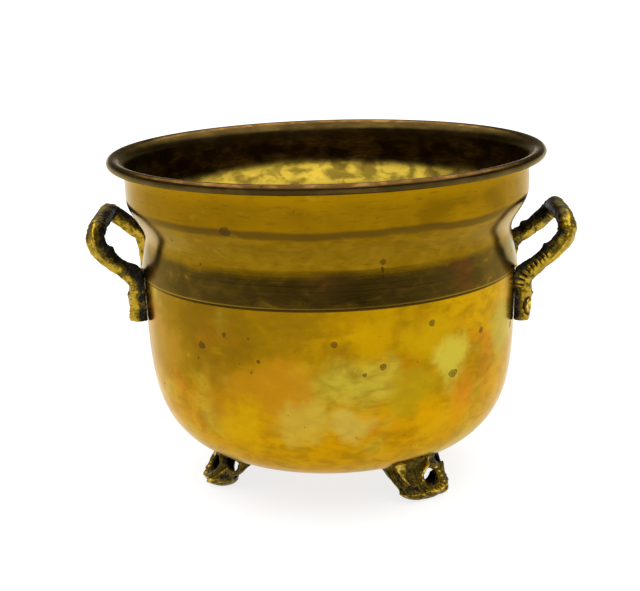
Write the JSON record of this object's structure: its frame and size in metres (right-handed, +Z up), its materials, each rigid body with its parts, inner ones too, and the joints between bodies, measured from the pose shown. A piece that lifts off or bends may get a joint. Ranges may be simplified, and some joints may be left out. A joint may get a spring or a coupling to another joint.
{
  "type": "brass planter pot",
  "caption": "Round spun brass planter with a rolled rim, stepped neck, deep bowl, cast branch handles and three openwork feet.",
  "frame": {"origin": "on the ground under the pot's axis, the middle of the box's bottom face", "axes": "+X runs from the left handle to the right one and is the longest extent, +Z is up and is the shortest, -Y is the front"},
  "size_m": [0.2815, 0.254, 0.199],
  "materials": {
    "spun_brass": "polished spun sheet with uneven patina",
    "cast_brass": "rough antiqued casting, dark in the recesses",
    "fasteners": "plain turned",
    "rim_wire": "drawn wire, dull"
  },
  "bodies": {
    "root": {"pot_bowl": "spun_brass", "pot_collar": "spun_brass", "rim_wire": "rim_wire", "handle_left": "cast_brass", "handle_right": "cast_brass", "foot_front_right": "cast_brass", "foot_back": "cast_brass", "foot_left": "cast_brass", "screw_handle_left_front": "fasteners", "screw_handle_left_back": "fasteners", "screw_handle_right_front": "fasteners", "screw_handle_right_back": "fasteners", "screw_foot_front_right_a": "fasteners", "screw_foot_front_right_b": "fasteners", "screw_foot_back_a": "fasteners", "screw_foot_back_b": "fasteners", "screw_foot_left_a": "fasteners", "screw_foot_left_b": "fasteners", "washer_handle_left_front": "fasteners", "washer_handle_left_back": "fasteners", "washer_handle_right_front": "fasteners", "washer_handle_right_back": "fasteners", "washer_foot_front_right_a": "fasteners", "washer_foot_front_right_b": "fasteners", "washer_foot_back_a": "fasteners", "washer_foot_back_b": "fasteners", "washer_foot_left_a": "fasteners", "washer_foot_left_b": "fasteners"}
  },
  "joints": []
}
